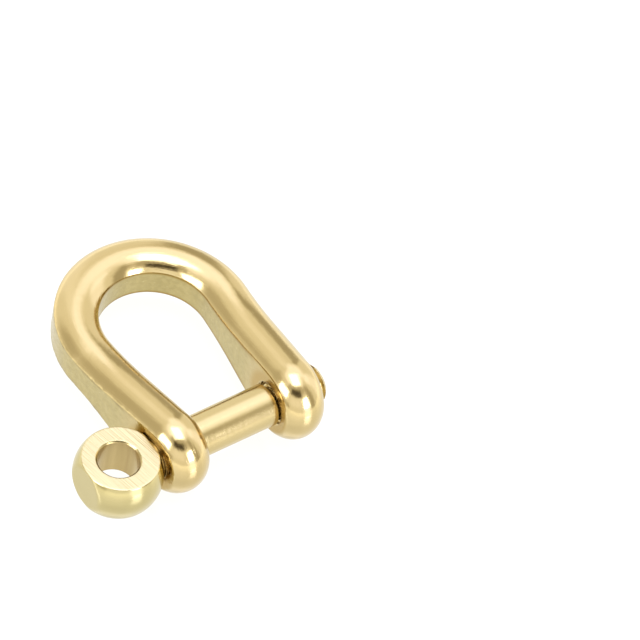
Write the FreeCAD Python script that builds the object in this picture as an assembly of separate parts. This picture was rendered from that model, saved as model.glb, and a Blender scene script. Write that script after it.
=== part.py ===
import FreeCAD, Part
import math
import os

# Screw-pin bow shackle, millimetres.
#
# Row frame: X runs along the pin, with its eye head at -X and its threaded end at +X.
# +Y runs from the lugs to the crown of the bow, and +Z is normal to the flat of the bow.
# The origin is on the pin's axis, midway between the lugs.

# ---- driving dimensions: pin ----
pin_d = 5.0             # plain shank
thread_step = 0.05      # how far the thread's crest lies below the shank's surface
relief_depth = 0.4      # turned relief between the shank and the thread, below the crest
relief_len = 0.5        # length of that relief
end_chamfer = 0.45      # on the free end of the thread
thread_proud = 1.4      # how far the threaded end stands out of its lug
shank_break = 0.15      # break of the shank's edge next to the relief
head_d = 10.2           # ball of the eye head
head_t = 5.3            # across the two milled flats of the head
end_facet_d = 5.3       # turned facet on the far side of the ball
eye_d = 4.8             # cross hole through the flats
eye_chamfer = 0.2       # break of the cross hole's edges
eye_offset = 0.25       # the cross hole lies this much further out than the ball's centre
collar_step = 0.6       # how far the seating collar stands out past the shank, all round
collar_len = 0.05       # length of the collar beyond the ball

# ---- driving dimensions: bow ----
jaw_w = 10.8            # gap between the lugs, on the pin's axis
inside_len = 19.2       # from the shank's surface to the inside of the crown
bar_w = 5.1             # bar and lugs, across their two flat walls
wall_h = 3.52           # height of the flat side walls round the crown
dome_h = 1.35           # rise of the domed top and bottom above the walls' rims
lug_d = 10.3            # round lugs, across their crest
flare_deg = 4.5         # each lug and leg leans outwards by this much
taper_fullness = 0.7    # radius that eases the taper out, as a share of the largest that fits

# ---- clearances ----
bore_clearance = 0.1    # radial, shank in the plain lug
thread_clearance = 0.08     # radial, thread crest in the tapped lug
shoulder_gap = 0.1      # nearest point of the shank's end to the tapped lug
seat_gap = 0.02         # nearest point of the collar to the plain lug

# ---- sizes that follow: bow ----
flare = math.radians(flare_deg)
half_bar = bar_w / 2
half_wall = wall_h / 2
lug_r = lug_d / 2
face_r = lug_r - dome_h
lug_x = jaw_w / 2 + half_bar / math.cos(flare)
lug_outer_x = jaw_w / 2 + bar_w / math.cos(flare)

# Centreline of the bar: a straight leg that leans outwards, then a round crown.
crown_mid_y = pin_d / 2 + inside_len + half_bar
crown_y = (crown_mid_y - lug_x * math.cos(flare)) / (1 + math.sin(flare))
crown_r = crown_mid_y - crown_y
leg_len = (crown_y - crown_r * math.sin(flare)) / math.cos(flare)

# Side view of a leg, in its own plane: the flat wall is round at the lug, narrows along a
# straight line, and eases along an arc into the height that it keeps round the crown.
taper_r_limit = (leg_len ** 2 + half_wall ** 2 - face_r ** 2) / (2 * (face_r - half_wall))
taper_r = taper_fullness * taper_r_limit
centre_gap = math.hypot(leg_len, half_wall + taper_r)
centre_lean = math.atan2(leg_len, half_wall + taper_r)
taper = centre_lean - math.acos((face_r + taper_r) / centre_gap)
lug_top_y = face_r * math.sin(taper)
lug_top_z = face_r * math.cos(taper)
ease_start_y = leg_len - taper_r * math.sin(taper)
ease_start_z = half_wall + taper_r * (1 - math.cos(taper))

# ---- sizes that follow: pin ----
pin_r = pin_d / 2
crest_r = pin_r - thread_step
relief_r = crest_r - relief_depth
head_r = head_d / 2
facet_r = end_facet_d / 2
collar_r = pin_r + collar_step
seat_x = -(lug_outer_x + collar_r * math.tan(flare) + seat_gap)
collar_x = seat_x - collar_len
head_x = collar_x - math.sqrt(head_r ** 2 - collar_r ** 2)
facet_x = head_x - math.sqrt(head_r ** 2 - facet_r ** 2)
eye_x = head_x - eye_offset
shank_end_x = jaw_w / 2 - pin_r * math.tan(flare) - shoulder_gap
thread_end_x = lug_outer_x + thread_proud

origin = FreeCAD.Vector(0, 0, 0)
x_axis = FreeCAD.Vector(1, 0, 0)
z_axis = FreeCAD.Vector(0, 0, 1)


def dome_arc(y, z, lean):
    """Arc of the domed edge in a leg's own frame, over the rim point (y, z).

    lean is how far the dome points from +Z towards +Y.
    """
    rim = FreeCAD.Vector(0, y, z)
    across = FreeCAD.Vector(half_bar, 0, 0)
    crest = rim + FreeCAD.Vector(0, math.sin(lean), math.cos(lean)) * dome_h
    return Part.Arc(rim - across, crest, rim + across).toShape()


def bar_section():
    """Closed outline of the bar in a leg's own frame, where the leg meets the crown."""
    low = FreeCAD.Vector(0, leg_len, -half_wall)
    high = FreeCAD.Vector(0, leg_len, half_wall)
    across = FreeCAD.Vector(half_bar, 0, 0)
    edges = [
        dome_arc(leg_len, half_wall, 0),
        Part.LineSegment(high + across, low + across).toShape(),
        dome_arc(leg_len, -half_wall, math.pi),
        Part.LineSegment(low - across, high - across).toShape(),
    ]
    return Part.Face(Part.Wire(edges))


def leg_wall(x):
    """One flat wall of a lug and its leg, at x in the leg's own frame."""
    ease_middle_y = leg_len - taper_r * math.sin(taper / 2)
    ease_middle_z = half_wall + taper_r * (1 - math.cos(taper / 2))
    lug_top = FreeCAD.Vector(x, lug_top_y, lug_top_z)
    ease_start = FreeCAD.Vector(x, ease_start_y, ease_start_z)
    ease_middle = FreeCAD.Vector(x, ease_middle_y, ease_middle_z)
    ease_end = FreeCAD.Vector(x, leg_len, half_wall)
    upper = [
        Part.LineSegment(lug_top, ease_start).toShape(),
        Part.Arc(ease_start, ease_middle, ease_end).toShape(),
    ]
    lower = [edge.mirror(origin, z_axis) for edge in upper]
    lug_low = FreeCAD.Vector(x, lug_top_y, -lug_top_z)
    lug_tip = FreeCAD.Vector(x, -face_r, 0)
    end_low = FreeCAD.Vector(x, leg_len, -half_wall)
    round_lug = Part.Arc(lug_top, lug_tip, lug_low).toShape()
    end = Part.LineSegment(ease_end, end_low).toShape()
    return Part.Face(Part.Wire(Part.sortEdges([round_lug, end] + upper + lower)[0]))


def leg():
    """A lug and its leg in their own frame: X across the bar, +Y towards the crown."""
    straight = FreeCAD.Vector(0, ease_start_y - lug_top_y, ease_start_z - lug_top_z)
    ease_centre = FreeCAD.Vector(0, leg_len, half_wall + taper_r)
    taper_deg = math.degrees(taper)
    lug_edge = dome_arc(lug_top_y, lug_top_z, taper).revolve(origin, x_axis, 180 + 2 * taper_deg)
    upper = [
        dome_arc(lug_top_y, lug_top_z, taper).extrude(straight),
        dome_arc(ease_start_y, ease_start_z, taper).revolve(ease_centre, x_axis, taper_deg),
    ]
    lower = [face.mirror(origin, z_axis) for face in upper]
    faces = [leg_wall(-half_bar), leg_wall(half_bar), bar_section(), lug_edge] + upper + lower
    shell = Part.makeShell(faces)
    shell.sewShape()
    return Part.makeSolid(shell)


def placed(shape):
    """Moves a shape from a leg's own frame to the right leg's place."""
    shape.rotate(origin, z_axis, -flare_deg)
    shape.translate(FreeCAD.Vector(lug_x, 0, 0))
    return shape


def lug_bore(side, radius):
    """Drill for one lug, along the pin's axis and past both of the lug's faces."""
    start = FreeCAD.Vector(lug_x * side - bar_w, 0, 0)
    return Part.makeCylinder(radius, 2 * bar_w, start, x_axis)


def make_bow():
    """The forged bow: two lugs with their legs, the crown between them, and the bores."""
    right = placed(leg())
    left = right.mirror(origin, x_axis)
    crown_centre = FreeCAD.Vector(0, crown_y, 0)
    crown_sweep = 180 + 2 * flare_deg
    crown = placed(bar_section()).revolve(crown_centre, z_axis, crown_sweep)
    body = crown.fuse([left, right])
    body = body.cut(lug_bore(-1, pin_r + bore_clearance))
    return body.cut(lug_bore(1, crest_r + thread_clearance))


def pin_blank():
    """The turned pin before its head is milled: one profile, turned about the X axis."""
    relief_end_x = shank_end_x + relief_len
    outline = [
        (thread_end_x, 0),
        (thread_end_x, crest_r - end_chamfer),
        (thread_end_x - end_chamfer, crest_r),
        (relief_end_x + crest_r - relief_r, crest_r),
        (relief_end_x, relief_r),
        (shank_end_x, relief_r),
        (shank_end_x, pin_r - shank_break),
        (shank_end_x - shank_break, pin_r),
        (seat_x, pin_r),
        (seat_x, collar_r),
        (collar_x, collar_r),
    ]
    corners = [FreeCAD.Vector(x, 0, r) for x, r in outline]
    ball_top = FreeCAD.Vector(head_x, 0, head_r)
    facet_rim = FreeCAD.Vector(facet_x, 0, facet_r)
    facet_middle = FreeCAD.Vector(facet_x, 0, 0)
    edges = [Part.LineSegment(a, b).toShape() for a, b in zip(corners, corners[1:])]
    edges.append(Part.Arc(corners[-1], ball_top, facet_rim).toShape())
    edges.append(Part.LineSegment(facet_rim, facet_middle).toShape())
    edges.append(Part.LineSegment(facet_middle, corners[0]).toShape())
    profile = Part.Face(Part.Wire(edges))
    return profile.revolve(origin, x_axis, 360)


def flat_cutter(side):
    """Block that mills one flat of the head and collar, above (+1) or below (-1) the axis."""
    ball_start_x = head_x - head_r
    low_z = head_t / 2 if side > 0 else -head_t / 2 - head_d
    corner = FreeCAD.Vector(ball_start_x, -head_d, low_z)
    return Part.makeBox(seat_x - ball_start_x, 2 * head_d, head_d, corner)


def eye_cutter():
    """Drill for the head's cross hole, with a countersink at each flat."""
    eye_r = eye_d / 2
    half = head_t / 2
    wide = eye_r + eye_chamfer
    hole = Part.makeCylinder(eye_r, head_t, FreeCAD.Vector(eye_x, 0, -half), z_axis)
    low = Part.makeCone(wide, eye_r, eye_chamfer, FreeCAD.Vector(eye_x, 0, -half), z_axis)
    high_start = FreeCAD.Vector(eye_x, 0, half - eye_chamfer)
    high = Part.makeCone(eye_r, wide, eye_chamfer, high_start, z_axis)
    return hole.fuse([low, high])


def make_screw_pin():
    """The pin: turned blank, two flats and a cross hole in the head."""
    body = pin_blank().cut([flat_cutter(1), flat_cutter(-1)])
    return body.cut(eye_cutter())


def save(name, shape):
    """Write one node's STEP, after checking that it is a single closed solid."""
    if len(shape.Solids) != 1 or not shape.isValid():
        raise RuntimeError(name + " is not one valid solid")
    solid = shape.Solids[0]
    solid.exportStep("parts/" + name + ".step")
    print(name, "volume", round(solid.Volume, 2), "mm3,", len(solid.Faces), "faces")


os.makedirs("parts", exist_ok=True)
save("bow", make_bow())
save("screw_pin", make_screw_pin())
print("crown centre y", round(crown_y, 3), "centreline radius", round(crown_r, 3))
print("head centre x", round(head_x, 3), "eye x", round(eye_x, 5))
print("facet x", round(facet_x, 4), "seat x", round(seat_x, 4))
print("shank end x", round(shank_end_x, 4), "free end x", round(thread_end_x, 4))
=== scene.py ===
import math

import bmesh
import bpy
import numpy as np
from mathutils import Matrix, Vector


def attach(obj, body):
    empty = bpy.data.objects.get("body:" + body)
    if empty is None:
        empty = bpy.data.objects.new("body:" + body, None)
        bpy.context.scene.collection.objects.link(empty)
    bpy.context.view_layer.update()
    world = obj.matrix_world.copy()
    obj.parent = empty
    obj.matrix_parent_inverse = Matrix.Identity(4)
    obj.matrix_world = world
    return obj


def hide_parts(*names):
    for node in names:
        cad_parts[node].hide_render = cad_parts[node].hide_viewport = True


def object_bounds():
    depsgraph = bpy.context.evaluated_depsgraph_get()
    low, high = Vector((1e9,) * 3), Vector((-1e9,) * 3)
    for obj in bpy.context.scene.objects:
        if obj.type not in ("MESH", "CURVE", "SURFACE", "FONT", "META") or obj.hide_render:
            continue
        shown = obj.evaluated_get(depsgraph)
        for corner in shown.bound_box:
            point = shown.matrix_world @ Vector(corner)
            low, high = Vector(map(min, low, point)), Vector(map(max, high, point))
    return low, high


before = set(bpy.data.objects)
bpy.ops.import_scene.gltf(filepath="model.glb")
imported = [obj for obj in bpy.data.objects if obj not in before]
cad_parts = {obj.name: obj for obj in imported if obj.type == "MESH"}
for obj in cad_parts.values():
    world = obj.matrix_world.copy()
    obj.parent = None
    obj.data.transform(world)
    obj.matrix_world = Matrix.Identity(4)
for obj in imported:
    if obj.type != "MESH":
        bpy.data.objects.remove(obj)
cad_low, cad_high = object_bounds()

# ---- camera ----
# A long lens half a metre off, in front of the head end and well above the shackle. It
# leans a little, so that the shackle's length runs up and to the left.

MM = 0.001
camera_turn = math.radians(-43.74)
camera_lift = math.radians(51.86)
camera_lean = math.radians(12.22)
camera_far = 0.5
frame_side = 71.4 * MM
side_shift = 10.13 * MM
rise_shift = 11.33 * MM

level = Vector((math.cos(camera_turn), math.sin(camera_turn), 0))
towards = Vector((
    math.sin(camera_turn) * math.cos(camera_lift),
    -math.cos(camera_turn) * math.cos(camera_lift),
    math.sin(camera_lift),
))
rise = towards.cross(level)
lens_right = math.cos(camera_lean) * level + math.sin(camera_lean) * rise
lens_up = math.cos(camera_lean) * rise - math.sin(camera_lean) * level
eye = towards * camera_far
aim = lens_right * side_shift + lens_up * rise_shift
lens_back = (eye - aim).normalized()
lens_side = lens_up.cross(lens_back).normalized()
lens_rise = lens_back.cross(lens_side)

camera_data = bpy.data.cameras.new("long_lens")
camera_data.sensor_width = 36
camera_data.lens = 36 * camera_far / frame_side
camera_data.clip_start = 0.01
camera_data.clip_end = 10
camera = bpy.data.objects.new("camera", camera_data)
bpy.context.scene.collection.objects.link(camera)
camera.matrix_world = Matrix.Translation(eye) @ Matrix(
    (lens_side, lens_rise, lens_back)).transposed().to_4x4()
bpy.context.scene.camera = camera
bpy.context.scene.view_settings.view_transform = "Standard"

# ---- studio ----
# A white table inside a pale tent, a soft box overhead and one on each side of the lens.
# The lens looks in through a gap in the tent, which the polish shows as a dark patch.

floor_z = cad_low.z
table_half = 1.5
table_mesh = bpy.data.meshes.new("table_top")
table_mesh.from_pydata(
    [(-table_half, -table_half, floor_z), (table_half, -table_half, floor_z),
     (table_half, table_half, floor_z), (-table_half, table_half, floor_z)],
    [], [(0, 1, 2, 3)])
table = bpy.data.objects.new("table_top", table_mesh)
bpy.context.scene.collection.objects.link(table)
table_white = bpy.data.materials.new("table_white")
table_white.use_nodes = True
table_shader = table_white.node_tree.nodes["Principled BSDF"]
table_shader.inputs["Base Color"].default_value = (0.1, 0.1, 0.1, 1)
table_shader.inputs["Roughness"].default_value = 0.16
table_shader.inputs["Specular IOR Level"].default_value = 0.9
table_shader.inputs["Emission Color"].default_value = (0.99, 1, 0.98, 1)
table_shader.inputs["Emission Strength"].default_value = 0.92
table_mesh.materials.append(table_white)


def facing(turn_deg, lift_deg):
    """The unit vector from the shackle towards a turn about Z and a lift above the table."""
    turn, lift = math.radians(turn_deg), math.radians(lift_deg)
    return Vector((math.cos(turn) * math.cos(lift), math.sin(turn) * math.cos(lift),
                   math.sin(lift)))


def soft_box(name, turn_deg, lift_deg, away, wide, tall, glow):
    """A rectangular lamp that faces the shackle, with its brightness as seen in the polish."""
    lamp = bpy.data.lights.new(name, "AREA")
    lamp.shape = "RECTANGLE"
    lamp.size = wide
    lamp.size_y = tall
    lamp.energy = glow * math.pi * wide * tall
    lamp.color = (0.95, 1, 1.25)
    box = bpy.data.objects.new(name, lamp)
    bpy.context.scene.collection.objects.link(box)
    spot = facing(turn_deg, lift_deg)
    box.matrix_world = Matrix.Translation(spot * away) @ spot.to_track_quat(
        "Z", "Y").to_matrix().to_4x4()


soft_box("box_overhead", -110, 86, 0.6, 0.34, 0.34, 2.7)
soft_box("box_left", 179, 31, 0.6, 0.33, 0.24, 5.0)
soft_box("box_right", -81, 23, 0.6, 0.20, 0.26, 6.5)


class Reading:
    """A number inside a node tree. Arithmetic on it adds Math nodes to the tree."""

    def __init__(self, tree, socket):
        self.tree = tree
        self.socket = socket

    def step(self, operation, *values):
        node = self.tree.nodes.new("ShaderNodeMath")
        node.operation = operation
        for slot, value in zip(node.inputs, values):
            if isinstance(value, Reading):
                self.tree.links.new(value.socket, slot)
            else:
                slot.default_value = value
        return Reading(self.tree, node.outputs[0])

    def __add__(self, other):
        return self.step("ADD", self, other)

    def __radd__(self, other):
        return self.step("ADD", other, self)

    def __sub__(self, other):
        return self.step("SUBTRACT", self, other)

    def __rsub__(self, other):
        return self.step("SUBTRACT", other, self)

    def __mul__(self, other):
        return self.step("MULTIPLY", self, other)

    def __rmul__(self, other):
        return self.step("MULTIPLY", other, self)

    def __truediv__(self, other):
        return self.step("DIVIDE", self, other)

    def sin(self):
        return self.step("SINE", self)

    def cos(self):
        return self.step("COSINE", self)

    def tan(self):
        return self.step("TANGENT", self)

    def root(self):
        return self.step("SQRT", self)

    def size(self):
        return self.step("ABSOLUTE", self)

    def fraction(self):
        return self.step("FRACT", self)

    def below(self, limit):
        return self.step("MINIMUM", self, limit)

    def above(self, limit):
        return self.step("MAXIMUM", self, limit)

    def share(self):
        return self.above(0).below(1)

    def ease(self):
        part = self.share()
        return part * part * (3 - 2 * part)

    def over(self, limit):
        return self.step("GREATER_THAN", self, limit)

    def mix(self, first, second):
        """first where this is 0, second where it is 1."""
        return first + (second - first) * self


room = bpy.data.worlds.new("studio_tent")
bpy.context.scene.world = room
room.use_nodes = True
tent = room.node_tree
tent_split = tent.nodes.new("ShaderNodeSeparateXYZ")
tent.links.new(tent.nodes.new("ShaderNodeTexCoord").outputs["Generated"], tent_split.inputs[0])
way_x, way_y, way_z = (Reading(tent, socket) for socket in tent_split.outputs)
tent_turn = way_y.step("ARCTAN2", way_y, way_x) * math.degrees(1)
tent_lift = way_z.step("ARCSINE", way_z) * math.degrees(1)


def lining_panel(under, turn, lift, wide, tall, soft, glow):
    """Lays a soft-edged sheet, paler or darker, over the tent's lining. Angles in degrees."""
    off_turn = (tent_turn - turn).step("WRAP", tent_turn - turn, 180, -180)
    off_lift = tent_lift - lift
    in_width = 0.5 + (wide / 2 - off_turn.size()) / soft
    in_height = 0.5 + (tall / 2 - off_lift.size()) / soft
    return (in_width.ease() * in_height.ease()).mix(under, glow)


LINING = (
    # turn, lift, width, height, softness and brightness: first the tent's pale parts
    (0, 72, 380, 22, 14, 1.5),
    (38, 57, 96, 22, 14, 1.5),
    (-11, 24, 28, 64, 12, 1.33),
    (-10, 42, 26, 16, 8, 1.5),
    (84, 22, 22, 60, 12, 1.16),
    (-128, 24, 44, 22, 12, 1.15),
    (-82, 4, 26, 28, 8, 1.65),
    (170, 8, 16, 26, 8, 1.6),
    # then the gaps between its sheets
    (-168, 3, 34, 16, 10, 0.6),
    (42, 20, 16, 40, 7, 0.52),
    (-54, 24, 22, 64, 8, 0.52),
    (139, 28, 38, 36, 20, 0.64),
    # and the opening for the lens, with the camera in it
    (-122, 58, 104, 24, 12, 0.6),
    (-123, 49, 58, 18, 6, 0.09),
)
lining = 1.0
for panel in LINING:
    lining = lining_panel(lining, *panel)
tent_light = tent.nodes["Background"]
tent_tint = tent.nodes.new("ShaderNodeValToRGB")
tent_tint.color_ramp.elements[0].position = 0.05
tent_tint.color_ramp.elements[0].color = (1, 0.84, 0.58, 1)
tent_tint.color_ramp.elements[1].position = 0.75
tent_tint.color_ramp.elements[1].color = (0.97, 1, 1.22, 1)
for brightness, tint in ((0.28, (1, 0.95, 0.8, 1)), (0.5, (1, 0.99, 0.97, 1))):
    tent_tint.color_ramp.elements.new(brightness).color = tint
tent.links.new((lining / 2).socket, tent_tint.inputs["Fac"])
tent.links.new(tent_tint.outputs["Color"], tent_light.inputs["Color"])
tent.links.new((lining * 1.25).socket, tent_light.inputs["Strength"])

# ---- bow ----
# The forged body: a bar with two flat walls and domed edges, bent into a U, with round
# lugs that the pin goes through. Brass, polished and plated pale gold.


def new_tree(name, sizes):
    """A geometry tree whose named inputs are the piece's sizes."""
    tree = bpy.data.node_groups.new(name, "GeometryNodeTree")
    for size, value in sizes.items():
        socket = tree.interface.new_socket(size, in_out="INPUT", socket_type="NodeSocketFloat")
        socket.default_value = value
    tree.interface.new_socket("Geometry", in_out="OUTPUT", socket_type="NodeSocketGeometry")
    entry = tree.nodes.new("NodeGroupInput")
    return tree, {size: Reading(tree, entry.outputs[size]) for size in sizes}


def grid_index(tree, rows, columns):
    """A grid of points, with each point's row and column number as readings."""
    grid = tree.nodes.new("GeometryNodeMeshGrid")
    grid.inputs["Vertices X"].default_value = rows
    grid.inputs["Vertices Y"].default_value = columns
    index = Reading(tree, tree.nodes.new("GeometryNodeInputIndex").outputs[0])
    row = index.step("FLOOR", (index + 0.5) / columns)
    return grid.outputs["Mesh"], row, index - row * columns


def place_points(tree, geometry, x, y, z):
    """Puts every point of the geometry at x, y, z."""
    spot = tree.nodes.new("ShaderNodeCombineXYZ")
    for slot, value in zip(spot.inputs, (x, y, z)):
        if isinstance(value, Reading):
            tree.links.new(value.socket, slot)
        else:
            slot.default_value = value
    node = tree.nodes.new("GeometryNodeSetPosition")
    tree.links.new(geometry, node.inputs["Geometry"])
    tree.links.new(spot.outputs[0], node.inputs["Position"])
    return node.outputs[0]


def keep_reading(tree, geometry, name, value):
    """Stores a reading on every point under a name that the finish can look up."""
    node = tree.nodes.new("GeometryNodeStoreNamedAttribute")
    node.data_type = "FLOAT"
    node.domain = "POINT"
    node.inputs["Name"].default_value = name
    tree.links.new(geometry, node.inputs["Geometry"])
    tree.links.new(value.socket, node.inputs["Value"])
    return node.outputs[0]


def mirrored(tree, geometry, scale):
    """A mirror image of the geometry, with its faces turned back outwards."""
    image = tree.nodes.new("GeometryNodeTransform")
    image.inputs["Scale"].default_value = scale
    tree.links.new(geometry, image.inputs["Geometry"])
    turned = tree.nodes.new("GeometryNodeFlipFaces")
    tree.links.new(image.outputs[0], turned.inputs["Mesh"])
    return turned.outputs[0]


def joined(tree, parts):
    """Several geometries as one."""
    node = tree.nodes.new("GeometryNodeJoinGeometry")
    for part in reversed(parts):
        tree.links.new(part, node.inputs[0])
    return node.outputs[0]


bow_sizes = {
    "Jaw Width": 10.8,
    "Inside Length": 19.2,
    "Pin Diameter": 5.0,
    "Bar Width": 5.1,
    "Wall Height": 3.52,
    "Dome Rise": 1.35,
    "Lug Diameter": 10.3,
    "Leg Flare": math.radians(4.5),
    "Taper Fullness": 0.7,
    "Inner Rim Round": 0.3,
    "Outer Rim Round": 0.5,
    "Lug Rim Round": 0.5,
    "Plain Bore": 5.2,
    "Tapped Bore": 5.06,
    "Bore Edge Round": 0.16,
    "Thread Pitch": 0.8,
    "Thread Depth": 0.28,
    "Polish Waves": 0.03,
    "Rim Burr": 0.1,
}

LUG_ROWS = 84
LEG_ROWS = 170
WALL_COLUMNS = 9
RIM_COLUMNS = 6
DOME_COLUMNS = 28
BORE_COLUMNS = 74
CREST_COLUMN = WALL_COLUMNS + RIM_COLUMNS + DOME_COLUMNS / 2
LUG_CUT = 4.3
WALL_FADE = 4.0
LUG_RIM_END = 1.5
LUG_RIM_FADE = 5.0


def half_bow(tree, size, bore_r):
    """The right half of the bow: one lug, its leg and half the crown, in millimetres."""
    flare = size["Leg Flare"]
    half_bar = size["Bar Width"] / 2
    half_wall = size["Wall Height"] / 2
    dome_h = size["Dome Rise"]
    face_r = size["Lug Diameter"] / 2 - dome_h
    lug_x = size["Jaw Width"] / 2 + half_bar / flare.cos()
    crown_mid_y = size["Pin Diameter"] / 2 + size["Inside Length"] + half_bar
    crown_y = (crown_mid_y - lug_x * flare.cos()) / (1 + flare.sin())
    crown_r = crown_mid_y - crown_y
    leg_len = (crown_y - crown_r * flare.sin()) / flare.cos()
    crown_len = crown_r * (flare + math.pi / 2)

    taper_limit = (leg_len * leg_len + half_wall * half_wall - face_r * face_r) / (
        2 * (face_r - half_wall))
    ease_r = size["Taper Fullness"] * taper_limit
    centre_z = half_wall + ease_r
    centre_gap = (leg_len * leg_len + centre_z * centre_z).root()
    taper = leg_len.step("ARCTAN2", leg_len, centre_z) - leg_len.step(
        "ARCCOSINE", (face_r + ease_r) / centre_gap)
    lug_top = face_r * taper.sin()
    ease_start = leg_len - ease_r * taper.sin()

    arc_len = face_r * (taper + math.pi / 2)
    cut_s = arc_len + (LUG_CUT - lug_top) / taper.cos()
    ease_s = arc_len + (ease_start - lug_top) / taper.cos()
    leg_s = ease_s + ease_r * taper
    end_s = leg_s + crown_len

    dome_r = (half_bar * half_bar + dome_h * dome_h) / (2 * dome_h)
    dome_drop = dome_h - dome_r

    def rim_point(s):
        """Run and height of the wall's theoretical rim at the length s along it, and its lean."""
        lean = (s.below(arc_len) / face_r - math.pi / 2) - (
            (s - ease_s).above(0).below(leg_s - ease_s) / ease_r)
        straight = (s - arc_len).above(0).below(ease_s - arc_len)
        round_lean = s.below(arc_len) / face_r - math.pi / 2
        run = face_r * round_lean.sin() + straight * taper.cos()
        high = face_r * round_lean.cos() - straight * taper.sin()
        easing = (s - ease_s).above(0).below(leg_s - ease_s) / ease_r
        run = run + ease_r * (taper.sin() - (taper - easing).sin())
        high = high - ease_r * ((taper - easing).cos() - taper.cos())
        run = run + (s - leg_s).above(0)
        return run, high, lean

    def bent(run, across, high):
        """From the bar laid straight to the bow's own frame."""
        turn = (run - leg_len).above(0) / crown_r
        leg_run = run.below(leg_len)
        leg_x = lug_x + across * flare.cos() + leg_run * flare.sin()
        leg_y = leg_run * flare.cos() - across * flare.sin()
        round_x = (crown_r + across) * (turn - flare).cos()
        round_y = crown_y + (crown_r + across) * (turn - flare).sin()
        in_crown = (run - leg_len).over(0)
        return in_crown.mix(leg_x, round_x), in_crown.mix(leg_y, round_y), high

    def bar_surface(rows, first_s, last_s, inner_edge):
        """One strip of the bar's skin: outer wall, rim, dome, rim and inner wall."""
        columns = 2 * WALL_COLUMNS + 2 * RIM_COLUMNS + DOME_COLUMNS + 1
        mesh, row, column = grid_index(tree, rows + 1, columns)
        along = row / rows
        s = first_s + (last_s - first_s) * along
        run, high, lean = rim_point(s)
        near_lug = 1 - ((run - LUG_RIM_END) / LUG_RIM_FADE).ease()
        outer_round = near_lug.mix(size["Outer Rim Round"], size["Lug Rim Round"])
        inner_round = near_lug.mix(size["Inner Rim Round"], size["Lug Rim Round"] * 1.6)

        from_crest = column - CREST_COLUMN
        inner_side = from_crest.over(0)
        rim_round = inner_side.mix(outer_round, inner_round)
        side = 1 - 2 * inner_side
        reach = half_bar - rim_round
        centre_h = dome_drop + ((dome_r - rim_round) * (dome_r - rim_round) - reach * reach).root()
        rim_turn = reach.step("ARCSINE", reach / (dome_r - rim_round))

        from_middle = from_crest.size()
        on_dome = (from_middle / (DOME_COLUMNS / 2)).share()
        on_rim = ((from_middle - DOME_COLUMNS / 2) / RIM_COLUMNS).share()
        on_wall = ((from_middle - DOME_COLUMNS / 2 - RIM_COLUMNS) / WALL_COLUMNS).ease()
        turn = on_dome * rim_turn + on_rim * (math.pi / 2 - rim_turn)
        held = turn.below(rim_turn)
        across = side * ((dome_r - rim_round) * held.sin() + rim_round * turn.sin())
        rise_up = dome_drop + (dome_r - rim_round) * held.cos() + rim_round * turn.cos()

        skin_run = run + lean.sin() * rise_up
        skin_high = high + lean.cos() * rise_up
        edge_run, edge_high = inner_edge(along, run, side)
        skin_run = skin_run + (edge_run - skin_run) * on_wall
        skin_high = skin_high + (edge_high - skin_high) * on_wall
        mesh = place_points(tree, mesh, *bent(skin_run, across, skin_high))
        mesh = keep_reading(tree, mesh, "wall", on_rim)
        at_rim = (on_rim * 3).share() * (1 - on_wall * 3).share()
        mesh = keep_reading(tree, mesh, "outer_rim", at_rim * (1 - inner_side))
        # The band along the inner rim where a dark orange reflection line is painted.
        reflected_rim_band = ((on_rim - 0.35) / 0.4).share() * (1 - on_wall / 0.16).share()
        mesh = keep_reading(tree, mesh, "inner_rim", reflected_rim_band * inner_side)
        parting = ((on_rim - 0.55) / 0.3).share() * (1 - on_wall / 0.1).share()
        mesh = keep_reading(tree, mesh, "parting_line", parting * (1 - inner_side))
        mesh = keep_reading(tree, mesh, "along", s)
        mesh = keep_reading(tree, mesh, "around", across + side * on_wall * 3)
        return mesh

    mouth_r = bore_r + size["Bore Edge Round"]

    def bore_mouth(along, run, side):
        """The ring where the wall turns into the bore, as run and height on that wall."""
        turn = math.pi * (1 - along)
        ring_run = (mouth_r * turn.cos() + side * half_bar * flare.sin()) / flare.cos()
        return ring_run, mouth_r * turn.sin()

    def middle_line(along, run, side):
        """The line halfway up the wall, from the bore to the crown."""
        start = (mouth_r + side * half_bar * flare.sin()) / flare.cos()
        lag = (LUG_CUT - start) * (1 - (run - LUG_CUT) / WALL_FADE).share()
        return run - lag, run * 0

    lug_skin = bar_surface(LUG_ROWS, cut_s * 0, cut_s, bore_mouth)
    leg_skin = bar_surface(LEG_ROWS, cut_s, end_s, middle_line)

    mesh, row, column = grid_index(tree, LUG_ROWS + 1, BORE_COLUMNS + 1)
    round_columns = 5
    from_crest = column - BORE_COLUMNS / 2
    from_middle = from_crest.size()
    side = 2 * from_crest.over(0) - 1
    straight_columns = BORE_COLUMNS / 2 - round_columns
    on_edge = ((from_middle - straight_columns) / round_columns).share() * (math.pi / 2)
    edge_round = size["Bore Edge Round"]
    depth = half_bar - edge_round + edge_round * on_edge.sin()
    depth = depth - (half_bar - edge_round) * (1 - (from_middle / straight_columns).share())
    radius = mouth_r - edge_round * on_edge.cos()
    turn = math.pi * (1 - row / LUG_ROWS)
    bore_y = radius * turn.cos()
    bore_x = lug_x + side * depth / flare.cos() + bore_y * flare.tan()
    bore = place_points(tree, mesh, bore_x, bore_y, radius * turn.sin())
    bore = keep_reading(tree, bore, "bore", 1 - on_edge / (math.pi / 2))
    upper = joined(tree, [lug_skin, leg_skin, bore])
    return joined(tree, [upper, mirrored(tree, upper, (1, 1, -1))])


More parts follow.
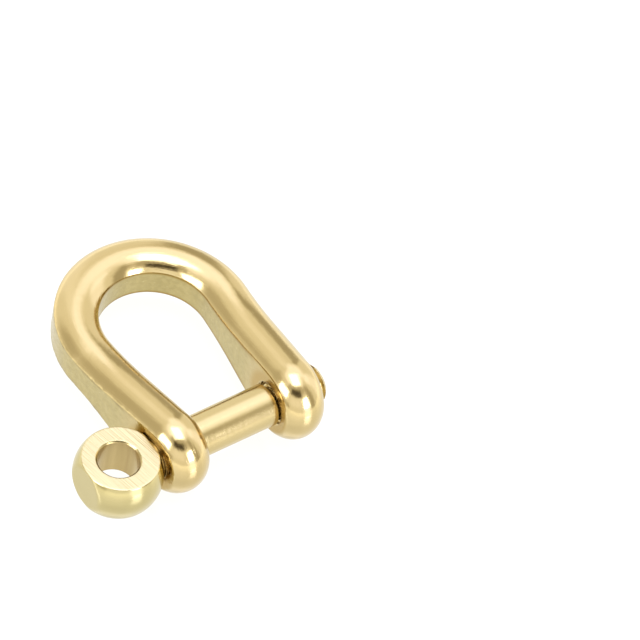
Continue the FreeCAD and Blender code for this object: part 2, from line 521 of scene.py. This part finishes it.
bow_tree, bow_size = new_tree("bow_bar", bow_sizes)
right_half = half_bow(bow_tree, bow_size, bow_size["Tapped Bore"] / 2)
left_half = half_bow(bow_tree, bow_size, bow_size["Plain Bore"] / 2)
whole = joined(bow_tree, [right_half, mirrored(bow_tree, left_half, (-1, 1, 1))])
merge = bow_tree.nodes.new("GeometryNodeMergeByDistance")
merge.inputs["Distance"].default_value = 0.003
bow_tree.links.new(whole, merge.inputs["Geometry"])


def named_reading(tree, name):
    """A reading that was stored on the points."""
    named = tree.nodes.new("GeometryNodeInputNamedAttribute")
    named.data_type = "FLOAT"
    named.inputs["Name"].default_value = name
    return Reading(tree, named.outputs["Attribute"])


def bore_thread(tree, size, geometry):
    """Cuts the right lug's screw thread outwards into the wall of its bore."""
    place = tree.nodes.new("ShaderNodeSeparateXYZ")
    where = tree.nodes.new("GeometryNodeInputPosition")
    tree.links.new(where.outputs[0], place.inputs[0])
    x, y, z = (Reading(tree, socket) for socket in place.outputs)
    in_bore = named_reading(tree, "bore")
    turns = x / size["Thread Pitch"] - x.step("ARCTAN2", z, y) / math.tau
    groove = (turns.fraction() - 0.5).size() * 2
    depth = ((groove - 0.2) / 0.6).share() * size["Thread Depth"]
    depth = depth * ((in_bore - 0.5) * 2).share() * x.over(0)
    radius = (y * y + z * z).root()
    swell = (radius + depth) / radius.above(0.001)
    return place_points(tree, geometry, x, y * swell, z * swell)


threaded = bore_thread(bow_tree, bow_size, merge.outputs[0])


def worked_surface(tree, size, geometry):
    """Moves the skin along its normals: hand-polishing waves, and a ragged outer rim."""
    def noise(scale, seed):
        field = tree.nodes.new("ShaderNodeTexNoise")
        field.noise_dimensions = "4D"
        field.inputs["W"].default_value = seed
        field.inputs["Scale"].default_value = scale
        field.inputs["Detail"].default_value = 2
        return Reading(tree, field.outputs[0]) - 0.5

    waves = noise(0.22, 3.0) * size["Polish Waves"]
    ragged = noise(1.7, 7.0) * size["Rim Burr"] * named_reading(tree, "outer_rim")
    normal = tree.nodes.new("GeometryNodeInputNormal")
    push = tree.nodes.new("ShaderNodeVectorMath")
    push.operation = "SCALE"
    tree.links.new(normal.outputs[0], push.inputs[0])
    calm = 1 - named_reading(tree, "bore")
    tree.links.new(((waves + ragged) * calm).socket, push.inputs["Scale"])
    node = tree.nodes.new("GeometryNodeSetPosition")
    tree.links.new(geometry, node.inputs["Geometry"])
    tree.links.new(push.outputs[0], node.inputs["Offset"])
    return node.outputs[0]


worked = worked_surface(bow_tree, bow_size, threaded)


def finished(tree, geometry, material):
    """Smooth shading, metres in place of millimetres, one plain mesh, and its finish."""
    smooth = tree.nodes.new("GeometryNodeSetShadeSmooth")
    tree.links.new(geometry, smooth.inputs[0])
    metres = tree.nodes.new("GeometryNodeTransform")
    metres.inputs["Scale"].default_value = (MM, MM, MM)
    tree.links.new(smooth.outputs[0], metres.inputs["Geometry"])
    real = tree.nodes.new("GeometryNodeRealizeInstances")
    tree.links.new(metres.outputs[0], real.inputs[0])
    coat = tree.nodes.new("GeometryNodeSetMaterial")
    coat.inputs["Material"].default_value = material
    tree.links.new(real.outputs[0], coat.inputs["Geometry"])
    leave = tree.nodes.new("NodeGroupOutput")
    tree.links.new(coat.outputs[0], leave.inputs[0])


def made_piece(name, tree, sizes):
    """Runs a tree with the piece's sizes and keeps its result as a plain mesh object."""
    holder = bpy.data.objects.new(name + "_plan", bpy.data.meshes.new(name + "_plan"))
    bpy.context.scene.collection.objects.link(holder)
    modifier = holder.modifiers.new("plan", "NODES")
    modifier.node_group = tree
    for item in tree.interface.items_tree:
        if item.in_out == "INPUT":
            modifier[item.identifier] = sizes[item.name]
    graph = bpy.context.evaluated_depsgraph_get()
    mesh = bpy.data.meshes.new_from_object(holder.evaluated_get(graph))
    holder.modifiers.remove(modifier)
    bpy.data.objects.remove(holder)
    mesh.name = name
    piece = bpy.data.objects.new(name, mesh)
    bpy.context.scene.collection.objects.link(piece)
    return piece


def new_gold(name):
    """A metal finish to add detail to: its tree and its shader."""
    material = bpy.data.materials.new(name)
    material.use_nodes = True
    shader = material.node_tree.nodes["Principled BSDF"]
    shader.inputs["Metallic"].default_value = 1.0
    return material, material.node_tree, shader


def grain(tree, place, scale, detail, stretch=(1, 1, 1)):
    """Noise from 0 to 1, drawn out along an axis by stretch."""
    drawn = tree.nodes.new("ShaderNodeVectorMath")
    drawn.operation = "MULTIPLY"
    drawn.inputs[1].default_value = stretch
    tree.links.new(place, drawn.inputs[0])
    field = tree.nodes.new("ShaderNodeTexNoise")
    field.inputs["Scale"].default_value = scale
    field.inputs["Detail"].default_value = detail
    tree.links.new(drawn.outputs[0], field.inputs["Vector"])
    return Reading(tree, field.outputs[0])


def blend_colour(tree, share, first, second):
    """One colour turning into another as the share goes from 0 to 1."""
    paint = tree.nodes.new("ShaderNodeMix")
    paint.data_type = "RGBA"
    tree.links.new(share.socket, paint.inputs["Factor"])
    for socket, colour in (("A", first), ("B", second)):
        if isinstance(colour, tuple):
            paint.inputs[socket].default_value = colour
        else:
            tree.links.new(colour, paint.inputs[socket])
    return paint.outputs["Result"]


def relief(tree, shader, height, depth):
    """Presses a height reading into the finish, depth metres deep."""
    bump = tree.nodes.new("ShaderNodeBump")
    bump.inputs["Strength"].default_value = 1.0
    bump.inputs["Distance"].default_value = depth
    tree.links.new(height.socket, bump.inputs["Height"])
    tree.links.new(bump.outputs[0], shader.inputs["Normal"])


polish_relief = 0.014 * MM
lug_finish_y = 3 * MM
leg_finish_fade = 4 * MM
# Reach and soft edge of the painted reflection of the pin: an orange ring round each bore on the
# lug walls.
pin_reflection_r = 3.3 * MM
pin_reflection_fade = 1.2 * MM

bow_gold, gold_tree, bow_shader = new_gold("bow_gold")


def skin_reading(name):
    """A reading stored on the bow's skin, as its finish sees it."""
    node = gold_tree.nodes.new("ShaderNodeAttribute")
    node.attribute_name = name
    return Reading(gold_tree, node.outputs["Fac"])


object_place = gold_tree.nodes.new("ShaderNodeTexCoord").outputs["Object"]
on_wall = skin_reading("wall")
bar_place = gold_tree.nodes.new("ShaderNodeCombineXYZ")
gold_tree.links.new(skin_reading("along").socket, bar_place.inputs[0])
gold_tree.links.new(skin_reading("around").socket, bar_place.inputs[1])

cloud = grain(gold_tree, object_place, 180, 3)
peel = grain(gold_tree, object_place, 1100, 3)
speck = grain(gold_tree, object_place, 5200, 2)
brushed = grain(gold_tree, bar_place.outputs[0], 3.0, 4, (0.10, 2.8, 1))
scratch = ((grain(gold_tree, bar_place.outputs[0], 1.3, 5, (0.35, 3.5, 1)) - 0.62) * 12).share()
mottle = ((grain(gold_tree, object_place, 1500, 4) - 0.5) * 2 + 0.5).share()
place_parts = gold_tree.nodes.new("ShaderNodeSeparateXYZ")
gold_tree.links.new(object_place, place_parts.inputs[0])
along_y, along_z = (Reading(gold_tree, place_parts.outputs[i]) for i in (1, 2))
past_lug = ((along_y - lug_finish_y) / leg_finish_fade).ease()
from_pin_axis = (along_y * along_y + along_z * along_z).root()
pin_reflection = 1 - ((from_pin_axis - pin_reflection_r) / pin_reflection_fade).ease()
polished_colour = blend_colour(
    gold_tree, cloud, (0.575, 0.44, 0.20, 1), (0.62, 0.485, 0.235, 1))
# Painted shade: the walls' colour is darker and greener than the domes', standing for the shaded
# table that they mirror. The mottle in it is random tone.
wall_colour = blend_colour(
    gold_tree, mottle, (0.465, 0.378, 0.162, 1), (0.56, 0.46, 0.208, 1))
painted_rim_reflection = skin_reading("inner_rim")
# How far a point takes the walls' satin roughness, which is real, and their painted shade.
satin_and_wall_shade = on_wall.ease() * (0.25 + past_lug * 0.75)
skin_colour = blend_colour(gold_tree, satin_and_wall_shade, polished_colour, wall_colour)
# Painted reflection: the walls turn orange round the pin, standing for the pin's gold mirrored in
# them.
skin_colour = blend_colour(
    gold_tree, on_wall.ease() * pin_reflection, skin_colour, (0.50, 0.345, 0.11, 1))
# Painted reflection: a dark orange line along the inner rim, away from the lugs.
skin_colour = blend_colour(
    gold_tree, painted_rim_reflection.share() * past_lug, skin_colour, (0.34, 0.215, 0.045, 1))
on_parting = skin_reading("parting_line").share() * past_lug
broken = ((grain(gold_tree, object_place, 700, 5) - 0.42) * 4).share()
gold_tree.links.new(
    blend_colour(gold_tree, on_parting * broken, skin_colour, (0.33, 0.25, 0.10, 1)),
    bow_shader.inputs["Base Color"])
polish_rough = 0.08 + cloud * 0.05 + brushed * 0.06 + scratch * 0.08
wall_rough = 0.2 + speck * 0.1
rough = satin_and_wall_shade.mix(polish_rough, wall_rough)
gold_tree.links.new(rough.socket, bow_shader.inputs["Roughness"])
relief(gold_tree, bow_shader,
       peel * (0.8 + satin_and_wall_shade * 2.0) + brushed * 0.7 + speck * (0.12 + satin_and_wall_shade * 0.3)
       + scratch * 0.25 - on_parting * broken, polish_relief)

finished(bow_tree, worked, bow_gold)
bow = made_piece("bow_body", bow_tree, bow_sizes)
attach(bow, "bow")
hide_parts("bow")

# ---- screw pin ----
# The turned pin: a ball head milled flat above and below, drilled through for a spike,
# then a seating collar, a plain shank, a relief groove and a screw thread.

thread_proud = 1.4
shoulder_gap = 0.1
seat_gap = 0.02
collar_len = 0.05
collar_step = 0.6
head_r = 5.1
head_half = 2.65
facet_r = 2.65
eye_r = 2.4
eye_break = 0.2
eye_offset = 0.25

lean = bow_sizes["Leg Flare"]
pin_r = bow_sizes["Pin Diameter"] / 2
collar_r = pin_r + collar_step
lug_inner_x = bow_sizes["Jaw Width"] / 2
lug_outer_x = lug_inner_x + bow_sizes["Bar Width"] / math.cos(lean)
seat_x = -(lug_outer_x + collar_r * math.tan(lean) + seat_gap)
head_middle = seat_x - collar_len - math.sqrt(head_r ** 2 - collar_r ** 2)
facet_x = head_middle - math.sqrt(head_r ** 2 - facet_r ** 2)
eye_middle = head_middle - eye_offset

pin_sizes = {
    "Shank Diameter": 2 * pin_r,
    "Thread Step": 0.05,
    "Thread Pitch": 0.8,
    "Thread Depth": 0.47,
    "Thread Turn": 0.3,
    "Relief Depth": 0.4,
    "Relief Length": 0.5,
    "Edge Break": 0.15,
    "End Chamfer": 0.45,
    "Root": -11.3,
    "Shank End": lug_inner_x - pin_r * math.tan(lean) - shoulder_gap,
    "Free End": lug_outer_x + thread_proud,
}
ROUND_COLUMNS = 112
SHANK_ROWS = 30
BREAK_ROWS = 4
STEP_ROWS = 3
THREAD_ROWS = 170
FACE_ROWS = 5


def turned_shank(tree, size):
    """The pin from inside its collar to its free end, turned about the X axis."""
    rows = SHANK_ROWS + BREAK_ROWS + STEP_ROWS + THREAD_ROWS + 2 * FACE_ROWS
    mesh, row, column = grid_index(tree, rows + 1, ROUND_COLUMNS + 1)
    turn = column / ROUND_COLUMNS * math.tau
    shank_r = size["Shank Diameter"] / 2
    crest_r = shank_r - size["Thread Step"]
    relief_r = crest_r - size["Relief Depth"]
    relief_end = size["Shank End"] + size["Relief Length"]
    row = row - FACE_ROWS
    root_face = ((row + FACE_ROWS) / FACE_ROWS).share()
    on_shank = (row / SHANK_ROWS).share()
    on_break = ((row - SHANK_ROWS) / BREAK_ROWS).share()
    on_step = ((row - SHANK_ROWS - BREAK_ROWS) / STEP_ROWS).share()
    on_thread = ((row - SHANK_ROWS - BREAK_ROWS - STEP_ROWS) / THREAD_ROWS).share()
    end_face = ((row - SHANK_ROWS - BREAK_ROWS - STEP_ROWS - THREAD_ROWS) / FACE_ROWS).share()

    broken = size["Edge Break"]
    break_turn = on_break * (math.pi / 2)
    x = size["Root"] + on_shank * (size["Shank End"] - broken - size["Root"])
    x = x + broken * break_turn.sin()
    x = x + on_thread * (size["Free End"] - size["Shank End"])
    plain_r = shank_r - broken * (1 - break_turn.cos())
    plain_r = plain_r + on_step * (relief_r - plain_r)

    pitch_place = x / size["Thread Pitch"] - column / ROUND_COLUMNS + size["Thread Turn"]
    groove = (pitch_place.fraction() - 0.5).size() * 2
    cut = ((groove - 0.16) / 0.62).share() * size["Thread Depth"]
    run_in = ((x - relief_end) / (crest_r - relief_r)).share()
    thread_r = (crest_r - cut).below(relief_r + run_in * (crest_r - relief_r))
    chamfer_r = crest_r - (x - (size["Free End"] - size["End Chamfer"])).above(0)
    thread_r = thread_r.below(chamfer_r)
    radius = on_thread.over(0).mix(plain_r, thread_r)
    radius = radius * root_face * (1 - end_face)
    shank = place_points(tree, mesh, x, radius * turn.cos(), radius * turn.sin())
    close = tree.nodes.new("GeometryNodeMergeByDistance")
    close.inputs["Distance"].default_value = 0.001
    tree.links.new(shank, close.inputs["Geometry"])
    return close.outputs[0]


GRIND_TURN = math.radians(-12)
flat_edge = (head_half - 0.07) * MM
flat_fade = 0.05 * MM
head_end_x = -10.5 * MM
ball_end_x = -10.9 * MM
ball_fade = 0.3 * MM
eye_edge = (eye_r + 0.05) * MM
eye_fade = 0.1 * MM

pin_gold, pin_tree, pin_shader = new_gold("pin_gold")
pin_place = pin_tree.nodes.new("ShaderNodeTexCoord").outputs["Object"]
spread = pin_tree.nodes.new("ShaderNodeSeparateXYZ")
pin_tree.links.new(pin_place, spread.inputs[0])
pin_x, pin_y, pin_z = (Reading(pin_tree, socket) for socket in spread.outputs)
height_up = pin_z.size()
on_flat = ((height_up - flat_edge) / flat_fade).share() * (1 - pin_x.over(head_end_x))
on_ball = 1 - ((pin_x - ball_end_x) / ball_fade).share()
eye_x = pin_x - eye_middle * MM
from_eye = (eye_x * eye_x + pin_y * pin_y).root()
in_eye = 1 - ((from_eye - eye_edge) / eye_fade).share()
cloud = grain(pin_tree, pin_place, 180, 3)
speck = grain(pin_tree, pin_place, 7000, 2)
wheel_turn = pin_tree.nodes.new("ShaderNodeMapping")
wheel_turn.inputs["Rotation"].default_value = (0, 0, GRIND_TURN)
pin_tree.links.new(pin_place, wheel_turn.inputs["Vector"])
wheel_marks = grain(pin_tree, wheel_turn.outputs[0], 1300, 4, (6, 0.1, 0.1))
ground = ((wheel_marks - 0.5) * 2.6 + 0.5).share()
scored = grain(pin_tree, wheel_turn.outputs[0], 560, 2, (9, 0.2, 0.2))
turned = grain(pin_tree, pin_place, 900, 3, (10, 0.3, 0.3))
shank_colour = blend_colour(
    pin_tree, cloud, (0.585, 0.458, 0.21, 1), (0.625, 0.50, 0.25, 1))
# Painted shade: the ball's gold is a little darker than the shank's, standing for the bow's
# reflection in its side.
ball_colour = blend_colour(
    pin_tree, cloud, (0.53, 0.445, 0.205, 1), (0.58, 0.488, 0.235, 1))
deep_score = ((scored - 0.62) * 9).share()
flat_colour = blend_colour(
    pin_tree, ground * (1 - deep_score), (0.60, 0.50, 0.265, 1), (0.72, 0.62, 0.36, 1))
# Painted shade and reflections in the eye: dark brown down in the hole, with vertical streaks
# painted as reflections. The same streaks also press in as drill marks.
drill_marks_and_reflections = grain(pin_tree, pin_place, 900, 4, (1, 1, 0.08))
eye_colour = blend_colour(
    pin_tree, drill_marks_and_reflections, (0.34, 0.235, 0.085, 1), (0.66, 0.52, 0.25, 1))
side_colour = blend_colour(pin_tree, on_ball, shank_colour, ball_colour)
side_colour = blend_colour(pin_tree, in_eye, side_colour, eye_colour)
pin_tree.links.new(
    blend_colour(pin_tree, on_flat * (1 - in_eye), side_colour, flat_colour),
    pin_shader.inputs["Base Color"])
on_shank = 1 - on_ball
side_rough = 0.12 + cloud * 0.05 + on_shank * 0.03 + in_eye * 0.08 + speck * 0.05
flat_rough = 0.22 + ground * 0.2
pin_tree.links.new(
    on_flat.mix(side_rough, flat_rough).socket, pin_shader.inputs["Roughness"])
flat_marks = ground * 0.9 + ((scored - 0.55) * 6).share() * 0.7
side_marks = speck * (0.1 + on_shank * 0.4) + turned * on_shank * 0.5 + cloud * 0.8
side_marks = side_marks + drill_marks_and_reflections * in_eye
relief(pin_tree, pin_shader, on_flat.mix(side_marks, flat_marks), polish_relief)

shank_tree, shank_size = new_tree("pin_shank", pin_sizes)
finished(shank_tree, turned_shank(shank_tree, shank_size), pin_gold)
shank = made_piece("pin_shank", shank_tree, pin_sizes)

HEAD_COLUMNS = 300


def soft_max(a, b, blend):
    """The larger of two distances, with the edge between them rounded over."""
    near = np.clip(blend - np.abs(a - b), 0, None) / blend
    return np.maximum(a, b) + near * near * blend / 4


def head_distance(points):
    """How far points are outside the head's surface, in millimetres; negative inside."""
    x, y, z = points.T
    high = np.abs(z)
    from_axis = np.hypot(y, z)
    ball = np.sqrt((x - head_middle) ** 2 + y ** 2 + z ** 2) - head_r
    collar = soft_max(from_axis - collar_r, head_middle - x, 0.1)
    solid = -soft_max(-ball, -collar, 0.1)
    solid = soft_max(solid, x - seat_x, 0.1)
    solid = soft_max(solid, facet_x - x, 0.16)
    solid = soft_max(solid, high - head_half, 0.12)
    hole_r = eye_r + np.clip(eye_break - (head_half - high), 0, None)
    return soft_max(solid, hole_r - np.hypot(x - eye_middle, y), 0.05)


def head_outer(turn, z):
    """Distance from the eye's axis to the outside of the head, at a height z."""
    offset = head_middle - eye_middle
    cosine = np.cos(turn)
    sine = np.maximum(np.abs(np.sin(turn)), 1e-6)
    ball = offset * cosine + np.sqrt(head_r ** 2 - z ** 2 - (offset * sine) ** 2)
    collar = np.sqrt(collar_r ** 2 - z ** 2) / sine
    seat = (seat_x - eye_middle) / np.maximum(cosine, 1e-6)
    facet = (eye_middle - facet_x) / np.maximum(-cosine, 1e-6)
    front = np.minimum(np.maximum(ball, collar), seat)
    return np.where(cosine > 0, front, np.minimum(ball, facet))


def gathered(count):
    """Steps from 0 to 1 that crowd together at both ends."""
    return (1 - np.cos(np.linspace(0, np.pi, count + 1)[:-1])) / 2


def head_points():
    """Rows of points round the head: up the eye, out over a flat, down the ball, and back."""
    turn = np.linspace(0, 2 * np.pi, HEAD_COLUMNS, endpoint=False)
    wall = head_half - eye_break
    wide = eye_r + eye_break
    rows = [(eye_r + 0 * turn, -wall + 2 * wall * t) for t in gathered(22)]
    rows += [(eye_r + eye_break * t + 0 * turn, wall + eye_break * t) for t in gathered(5)]
    top = head_outer(turn, head_half)
    rows += [(wide + (top - wide) * t, head_half) for t in gathered(24)]
    rows += [(head_outer(turn, head_half * (1 - 2 * t)), head_half * (1 - 2 * t))
             for t in gathered(84)]
    rows += [(top + (wide - top) * t, -head_half) for t in gathered(24)]
    rows += [(wide - eye_break * t + 0 * turn, -head_half + eye_break * t) for t in gathered(5)]
    points = np.array([
        np.stack([eye_middle + out * np.cos(turn), out * np.sin(turn), high + 0 * turn], 1)
        for out, high in rows])
    flat = points.reshape(-1, 3)
    nudge = 1e-4
    for _ in range(12):
        slope = np.stack([
            (head_distance(flat + nudge * axis) - head_distance(flat - nudge * axis)) / (2 * nudge)
            for axis in np.eye(3)], 1)
        size = np.maximum((slope ** 2).sum(1), 0.05)
        flat = flat - (0.8 * head_distance(flat) / size)[:, None] * slope
    return flat.reshape(points.shape)


def closed_grid(name, points):
    """A ring of rings of points as a closed mesh of quads."""
    rows, columns = points.shape[:2]
    index = np.arange(rows * columns).reshape(rows, columns)
    ahead = np.roll(index, -1, 0)
    faces = np.stack([index, np.roll(index, -1, 1), np.roll(ahead, -1, 1), ahead], -1)
    mesh = bpy.data.meshes.new(name)
    mesh.from_pydata((points.reshape(-1, 3) * MM).tolist(), [], faces.reshape(-1, 4).tolist())
    form = bmesh.new()
    form.from_mesh(mesh)
    bmesh.ops.recalc_face_normals(form, faces=form.faces)
    form.to_mesh(mesh)
    form.free()
    piece = bpy.data.objects.new(name, mesh)
    bpy.context.scene.collection.objects.link(piece)
    return piece


pin = closed_grid("screw_pin_body", head_points())
weld = pin.modifiers.new("shank", "BOOLEAN")
weld.operation = "UNION"
weld.solver = "EXACT"
weld.object = shank
graph = bpy.context.evaluated_depsgraph_get()
welded = bpy.data.meshes.new_from_object(pin.evaluated_get(graph))
pin.modifiers.remove(weld)
pin.data = welded
bpy.data.objects.remove(shank)
welded.materials.clear()
welded.materials.append(pin_gold)
welded.shade_smooth()
welded.set_sharp_from_angle(angle=math.radians(40))
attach(pin, "pin")
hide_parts("screw_pin")
